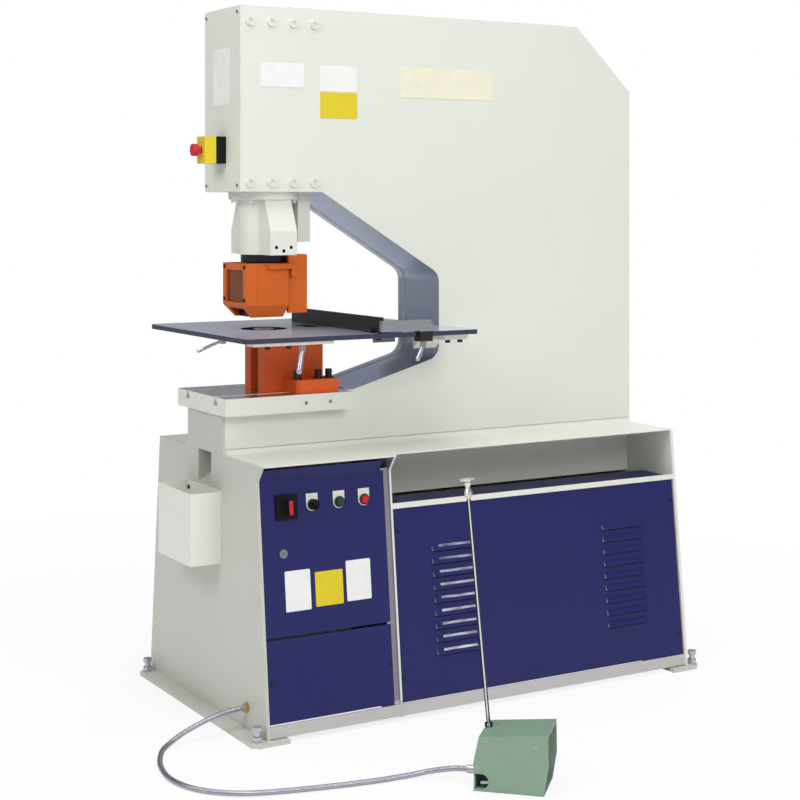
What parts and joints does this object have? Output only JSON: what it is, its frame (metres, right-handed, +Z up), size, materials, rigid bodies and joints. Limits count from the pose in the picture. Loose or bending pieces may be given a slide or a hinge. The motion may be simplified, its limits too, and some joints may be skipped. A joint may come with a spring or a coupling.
{
  "type": "hydraulic punching machine",
  "caption": "Floor-standing C-frame hydraulic punch with a deep throat, work table, stripper, die holder, louvred cabinet base and a foot switch on a hose.",
  "frame": {"origin": "on the floor, on the mid-plane of the C-frame, under the cabinet's front plate", "axes": "+X from the operator's end to the rear, +Y to the operator's left away from the control side, +Z up"},
  "size_m": [1.634, 1.3641, 1.803],
  "materials": {
    "white_paint": "satin",
    "blue_paint": "satin",
    "orange_paint": "satin",
    "green_paint": "hammered",
    "bare_steel": "brushed",
    "black_steel": "blackened",
    "bright_chrome": "polished",
    "brass_fitting": "machined",
    "smoked_clear": "clear",
    "red_plastic": "gloss",
    "green_plastic": "gloss",
    "yellow_plastic": "gloss",
    "black_plastic": "matte"
  },
  "bodies": {
    "frame": {"side_plate_near": "white_paint", "side_plate_far": "white_paint", "throat_liner": "bare_steel", "frame_web": "white_paint", "top_cover": "white_paint", "head_front_cover": "white_paint", "cylinder_block": "bare_steel", "head_bolts": "white_paint", "ring_flange": "white_paint", "ram_housing": "white_paint", "guide_plate": "white_paint", "stripper_column": "orange_paint", "bolster": "white_paint", "die_holder": "orange_paint", "die": "bare_steel", "cap_screws": "black_steel", "work_table": "bare_steel", "table_rail": "white_paint", "table_brackets": "white_paint", "front_end_plate": "white_paint", "rear_end_plate": "white_paint", "deck": "white_paint", "side_frame": "white_paint", "far_panel": "white_paint", "foot_flanges": "white_paint", "levelling_bolts": "bare_steel", "door_hinge_pins": "bare_steel", "lower_panel": "blue_paint", "pump_panel": "blue_paint", "oil_tank": "blue_paint", "power_unit": "bare_steel", "estop_base": "black_plastic", "estop_cover": "yellow_plastic", "slug_box": "white_paint", "hose_glands": "brass_fitting", "hose": "bare_steel", "pedal_guard": "green_paint", "pedal_rod": "bright_chrome"},
    "ram": {"ram": "bare_steel", "coupling_nut": "black_steel", "punch": "bare_steel"},
    "stripper": {"stripper_guard": "orange_paint", "stripper_window": "smoked_clear", "stripper_foot": "black_steel"},
    "near_lever": {"table_lever_near": "bare_steel"},
    "front_lever": {"table_lever_front": "bare_steel"},
    "gauge": {"gauge_fence": "black_steel", "gauge_carriage": "bare_steel"},
    "gauge_clamp": {"gauge_lever": "bare_steel"},
    "door": {"electrical_door": "blue_paint", "isolator_plate": "black_plastic", "control_bezels": "bare_steel"},
    "isolator": {"isolator_handle": "red_plastic"},
    "selector": {"selector_knob": "black_plastic"},
    "start": {"start_button": "green_plastic"},
    "stop": {"stop_button": "red_plastic"},
    "lock": {"door_lock": "bare_steel"},
    "emergency_stop": {"estop_button": "red_plastic"},
    "treadle": {"treadle": "bare_steel"}
  },
  "joints": [
    {"name": "ram_slide", "type": "slide", "parent": "frame", "child": "ram", "axis": [0, 0, -1], "range_m": [0, 0.055]},
    {"name": "stripper_swing", "type": "hinge", "parent": "frame", "child": "stripper", "pos_m": [0.213, -0.075, 1.132], "axis": [0, 0, 1], "range_deg": [0, 95]},
    {"name": "table_lever_near_turn", "type": "hinge", "parent": "frame", "child": "near_lever", "pos_m": [0.134, -0.281, 0.946], "axis": [0, 0, 1], "range_deg": [-90, 90]},
    {"name": "table_lever_front_turn", "type": "hinge", "parent": "frame", "child": "front_lever", "pos_m": [0.022, -0.053, 0.954], "axis": [0, 0, 1], "range_deg": [-60, 60]},
    {"name": "gauge_slide", "type": "slide", "parent": "frame", "child": "gauge", "axis": [1, 0, 0], "range_m": [-0.06, 0.12]},
    {"name": "gauge_lever_turn", "type": "hinge", "parent": "gauge", "child": "gauge_clamp", "pos_m": [0.471, -0.303, 0.942], "axis": [0, 0, 1], "range_deg": [-60, 60]},
    {"name": "door_swing", "type": "hinge", "parent": "frame", "child": "door", "pos_m": [0.345, -0.34049, 0.24511], "axis": [0, 0.1034, 0.9946], "range_deg": [0, 90]},
    {"name": "isolator_turn", "type": "hinge", "parent": "door", "child": "isolator", "pos_m": [0.0727, -0.31391, 0.55402], "axis": [0, 0.9946, -0.1034], "range_deg": [0, 90]},
    {"name": "selector_turn", "type": "hinge", "parent": "door", "child": "selector", "pos_m": [0.144, -0.31391, 0.55402], "axis": [0, 0.9946, -0.1034], "range_deg": [-45, 45]},
    {"name": "start_push", "type": "slide", "parent": "door", "child": "start", "axis": [0, 0.9946, -0.1034], "range_m": [0, 0.004], "stiffness_N_per_m": 800},
    {"name": "stop_push", "type": "slide", "parent": "door", "child": "stop", "axis": [0, 0.9946, -0.1034], "range_m": [0, 0.004], "stiffness_N_per_m": 800},
    {"name": "lock_turn", "type": "hinge", "parent": "door", "child": "lock", "pos_m": [0.059, -0.32549, 0.44261], "axis": [0, 0.9946, -0.1034], "range_deg": [-90, 0]},
    {"name": "estop_push", "type": "slide", "parent": "frame", "child": "emergency_stop", "axis": [1, 0, 0], "range_m": [0, 0.004], "stiffness_N_per_m": 1000},
    {"name": "treadle_press", "type": "hinge", "parent": "frame", "child": "treadle", "pos_m": [0.32868, -0.86357, 0.024], "axis": [0.7009, 0.7133, 0], "range_deg": [0, 8], "stiffness_Nm_per_rad": 12}
  ]
}
